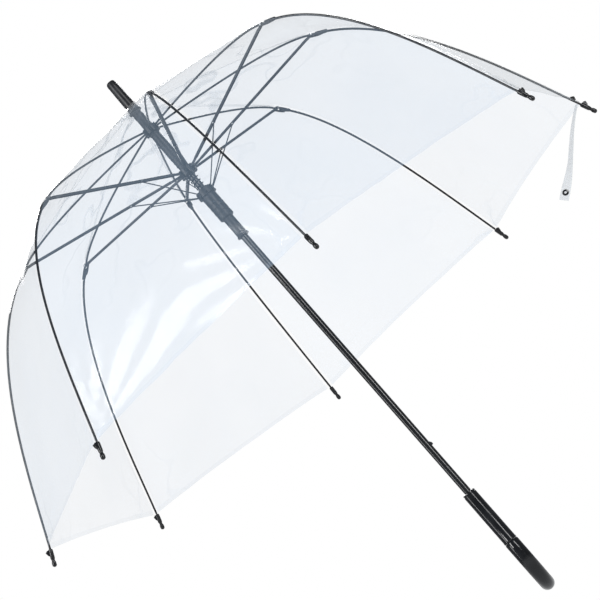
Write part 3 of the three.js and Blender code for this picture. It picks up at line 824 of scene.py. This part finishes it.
def wrinkle(gore, across, from_weld, from_crown, from_hem, skirt):
    """How far the film stands off its smooth shape, and how strongly a painted crease highlight is drawn
    there, from 0 to 1.
    Across runs from -1 to 1 between the gore's two welds, and the distances are in metres."""
    free = 1 - math.exp(-from_weld / (4 * MM))
    side = gore * 2 + (across > 0)
    slack = soft_noise(across * 1.6 + gore * 3, from_crown * 9, gore) * 1.7 * MM * (1 - across * across)
    pucker = soft_noise(from_crown * 42, from_weld * 9, side) * 1.5 * MM * math.exp(-from_weld / (26 * MM))
    pucker *= skirt * math.exp(-max(from_crown - 0.34, 0) / 0.11)
    corner = math.hypot(from_weld, from_hem)
    angle = math.atan2(from_weld, from_hem + 1e-6)
    fan = math.sin(angle * 17 + 5 * soft_noise(side, angle, 3)) * 1.5 * MM * math.exp(-corner / 0.085)
    fan *= min(corner / 0.02, 1)
    frill = soft_noise(across * 9, from_hem * 12, gore + 40) * 1.6 * MM * math.exp(-from_hem / 0.022)
    pleat = soft_noise(across * 3.2, from_crown * 4, side + 60) * 1.6 * MM * math.exp(-from_crown / 0.09)
    total = (slack + pucker + fan + frill + pleat) * free
    # Strongest near the crown and the hem's corners, where the painted crease highlight is drawn.
    crease_highlight_share = math.exp(-((from_crown / 0.17) ** 2)) + 0.5 * math.exp(-corner / 0.03)
    return total, min(1.0, crease_highlight_share)


def canopy_points():
    """The whole canopy as one grid: rows down from the crown, columns round the dome."""
    ridge, joint_row = ridge_line()
    down = [0.0]
    for a, b in zip(ridge, ridge[1:]):
        down.append(down[-1] + (b - a).length)
    shares = [k / GORE_COLUMNS for k in range(GORE_COLUMNS)]
    across = [0.72 * -math.cos(math.pi * x) + 0.28 * (2 * x - 1) for x in shares]
    points, marks = [], []
    for row, point in enumerate(ridge):
        before, after = ridge[max(row - 1, 0)], ridge[min(row + 1, len(ridge) - 1)]
        ahead = (after - before).normalized()
        outward = Vector((-ahead.z, 0, ahead.x))
        for gore in range(RIBS):
            turn = Matrix.Rotation((gore + 0.5) * RIB_STEP, 3, "Z")
            for w in across:
                half = point.x * math.sin(HALF_STEP)
                from_weld = half * (1 - abs(w))
                from_hem = max(down[-1] - down[row], 0)
                rise = HEM_ARCH * (1 - w * w) * math.exp(-from_hem / 0.012)
                lift, crease_highlight = wrinkle(gore, w, from_weld, down[row], from_hem, row > joint_row)
                place = Vector((point.x * math.cos(HALF_STEP), w * half, point.z))
                place += outward * (lift * min(point.x / 0.02, 1)) - ahead * rise
                points.append(turn @ place)
                weld = from_weld if point.x > CROWN_DISC_R else 1.0
                # The third mark is 1 on the rows where the haze over the ribs is cleared as painted shade;
                # the fourth is the strength of the painted crease highlight.
                marks.append((weld, from_hem, float(row >= joint_row), crease_highlight))
    return points, marks, down, joint_row


def panel(name, rows, first_column, points, normals, marks):
    """One piece of the film, cut from the whole grid so that its edges meet its neighbours'."""
    columns = RIBS * GORE_COLUMNS
    wide = GORE_COLUMNS + 1
    picked = [row * columns + (first_column + k) % columns for row in rows for k in range(wide)]
    mesh = bpy.data.meshes.new(name)
    mesh.from_pydata([tuple(points[i]) for i in picked], [], grid_faces(len(rows), wide, wrap=False))
    uv = mesh.uv_layers.new(name="film")
    for loop in mesh.loops:
        uv.data[loop.index].uv = marks[picked[loop.vertex_index]][:2]
    # Point attributes for the painted shade over the ribs and the painted crease highlight.
    for title, place in (("rib_shade_mask", 2), ("crease_highlight", 3)):
        layer = mesh.attributes.new(title, "FLOAT", "POINT")
        layer.data.foreach_set("value", [marks[i][place] for i in picked])
    mesh.materials.append(FILM)
    mesh.shade_smooth()
    mesh.normals_split_custom_set_from_vertices([tuple(normals[i]) for i in picked])
    made = linked(name, mesh)
    return made


def canopy():
    """For each rib a throat piece that bends from the shaft to the inner rib, a crown piece that rides on
    the inner rib, and a skirt piece that rides between ribs."""
    points, marks, down, joint_row = canopy_points()
    columns = RIBS * GORE_COLUMNS
    whole = bpy.data.meshes.new("whole_canopy")
    whole.from_pydata([tuple(p) for p in points], [], grid_faces(len(down), columns))
    normals = [v.normal.copy() for v in whole.vertices]
    throat_row = next(row for row in range(joint_row) if points[row * columns].to_2d().length > THROAT_R)
    throat_rows = list(range(throat_row + 1))
    crown_rows = list(range(throat_row, joint_row + 1))
    skirt_rows = list(range(joint_row, len(down)))
    for k in range(RIBS):
        first_column = k * GORE_COLUMNS - GORE_COLUMNS // 2
        throat = panel(f"film_throat_{k + 1}", throat_rows, first_column, points, normals, marks)
        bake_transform(throat)
        crown = panel(f"film_crown_{k + 1}", crown_rows, first_column, points, normals, marks)
        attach(crown, f"rib_inner_{k + 1}")
        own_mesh(crown)
        skirt = panel(f"film_skirt_{k + 1}", skirt_rows, k * GORE_COLUMNS, points, normals, marks)
        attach(skirt, f"gore_{k + 1}")
        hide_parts(f"canopy_panel_{k + 1}")
        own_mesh(skirt)
    bpy.data.meshes.remove(whole)


# ---- Strap ----

def strap():
    """A film strap that hangs nearly edge-on and turns its face out near the end, with a snap ring."""
    length = 124 * MM
    hang = Vector((-math.sin(STRAP_LEAN), 0, -math.cos(STRAP_LEAN)))
    flat = Vector((0, 1, 0))
    normal = flat.cross(hang)
    half, thick = 6 * MM, 0.25 * MM
    corners = [(-half, -thick), (half, -thick), (half, thick), (-half, thick)]
    points, sides, sizes = [], [], []
    for share in np.linspace(0, 1, 40):
        turned = math.radians(24 + 50 * min(1, max(0, (share - 0.55) / 0.35)) ** 1.5)
        points.append(STRAP_TOP + hang * length * share + normal * (1.2 * MM * math.sin(share * 7)))
        sides.append(tuple(flat * math.cos(turned) + normal * math.sin(turned)))
        sizes.append(0.55 + 0.45 * min(1, share / 0.5))
    band = sweep(points, corners, sides, sizes)
    made = piece("strap_band", [(band, STRAP_FILM)], "strap", ["strap"], sharp=60)
    out = (normal * math.cos(turned) - flat * math.sin(turned)).normalized()
    at = STRAP_TOP + hang * (length - 10 * MM)
    rim = in_mm((1.7, 0), (3.9, 0), (4.1, 0.5), (3.6, 1.3), (2.5, 1.6), (1.9, 1.2), (1.7, 0))
    both = joined(lathe(rim, 32), placed(lathe(rim, 32), Matrix.Scale(-1, 4, (0, 0, 1))))
    both = placed(both, stood_at(at, out))
    piece("strap_snap", [(both, GLOSS_BLACK)], "strap", ["snap_socket"])


def film_stud():
    """The snap's other half, riveted through the film near the tip of rib 1."""
    t = from_tip(24 * MM)
    at = outer_offset(t, film_gap(t))
    ahead = outer_ahead(t)
    out = Vector((-ahead.z, 0, ahead.x))
    profile = in_mm((0, 0.2), (4, 0.2), (4.1, 0.8), (3.4, 1.5), (2, 1.6), (1.7, 2.2), (1.8, 3), (1.3, 3.3),
                    (0, 3.3))
    stud = placed(lathe(profile, 28), stood_at(at, out))
    piece("film_stud", [(stud, GLOSS_BLACK)], "rib_outer_1", ["snap_stud"])


# ---- Studio ----

def camera():
    level = math.cos(VIEW_ELEVATION)
    back = Vector((math.sin(VIEW_AZIMUTH) * level, -math.cos(VIEW_AZIMUTH) * level,
                   math.sin(VIEW_ELEVATION)))
    data = bpy.data.cameras.new("camera")
    data.lens = VIEW_LENS
    data.sensor_width = 36
    data.clip_end = 50
    made = linked("camera", data)
    made.rotation_mode = "QUATERNION"
    made.location = VIEW_TARGET + back * VIEW_DISTANCE
    turn = (-back).to_track_quat("-Z", "Y")
    made.rotation_quaternion = turn @ Matrix.Rotation(VIEW_ROLL, 3, "Z").to_quaternion()
    bpy.context.scene.camera = made


def softbox(name, at, size, power, target=(0, 0, 0.4)):
    data = bpy.data.lights.new(name, "AREA")
    data.shape = "RECTANGLE"
    data.size, data.size_y = size
    data.energy = power
    made = linked(name, data)
    made.location = at
    made.rotation_mode = "QUATERNION"
    made.rotation_quaternion = (Vector(target) - Vector(at)).to_track_quat("-Z", "Y")


def floor():
    """A plain pale floor, well below the umbrella, which hangs as if held. It gives off some light of
    its own, so that it is evenly pale."""
    size, height = 14, CAD_BOX[0].z - 0.16
    made_mesh = bpy.data.meshes.new("floor")
    corners = [(x * size, y * size, height) for x, y in ((-1, -1), (1, -1), (1, 1), (-1, 1))]
    made_mesh.from_pydata(corners, [], [(0, 1, 2, 3)])
    made = linked("floor", made_mesh)
    material, tree, shader = new_material("pale_floor")
    cloud = surface_noise(tree, 0.8, 3)
    tint = colour_mix(tree, cloud, (0.28, 0.285, 0.29), (0.32, 0.32, 0.325))
    tree.links.new(tint, shader.inputs["Base Color"])
    shader.inputs["Roughness"].default_value = 0.9
    shader.inputs["Emission Color"].default_value = (0.93, 0.94, 0.95, 1)
    shader.inputs["Emission Strength"].default_value = 0.5
    made_mesh.materials.append(material)


def backdrop():
    """A white room to look into, and a dimmer one to be lit by, as in front of a lit paper roll."""
    world = bpy.data.worlds.new("studio")
    world.use_nodes = True
    bpy.context.scene.world = world
    tree = world.node_tree
    sky = tree.nodes["Background"]
    path = add_node(tree, "ShaderNodeLightPath")
    seen = add_node(tree, "ShaderNodeBackground", Color=(1, 1, 1, 1), Strength=1.0)
    mix = add_node(tree, "ShaderNodeMixShader")
    sky.inputs["Color"].default_value = (0.93, 0.97, 1.0, 1)
    sky.inputs["Strength"].default_value = 0.27
    tree.links.new(path.outputs["Is Camera Ray"], mix.inputs[0])
    tree.links.new(sky.outputs[0], mix.inputs[1])
    tree.links.new(seen.outputs[0], mix.inputs[2])
    tree.links.new(mix.outputs[0], tree.nodes["World Output"].inputs["Surface"])


def studio():
    bpy.context.scene.view_settings.view_transform = "Standard"
    camera()
    backdrop()
    floor()
    softbox("key", (-1.8, -1.6, 1.7), (0.5, 1.7), 52)
    softbox("fill", (1.25, -2.1, 1.1), (0.42, 1.9), 36)
    softbox("rim", (0.6, 2.4, 1.6), (2.2, 0.7), 45)
    softbox("left", (-2.3, -0.6, 0.75), (0.4, 1.4), 14)


for rib in range(RIBS):
    inner_rib(rib)
    outer_rib(rib)
    rib_tip(rib)
    stretcher(rib)
    link_wire(rib)
shaft_tube()
spring_catch()
ferrule_cap()
notch_wheel()
upper_runner()
lower_runner()
main_spring()
grip()
crook()
canopy()
strap()
film_stud()
studio()
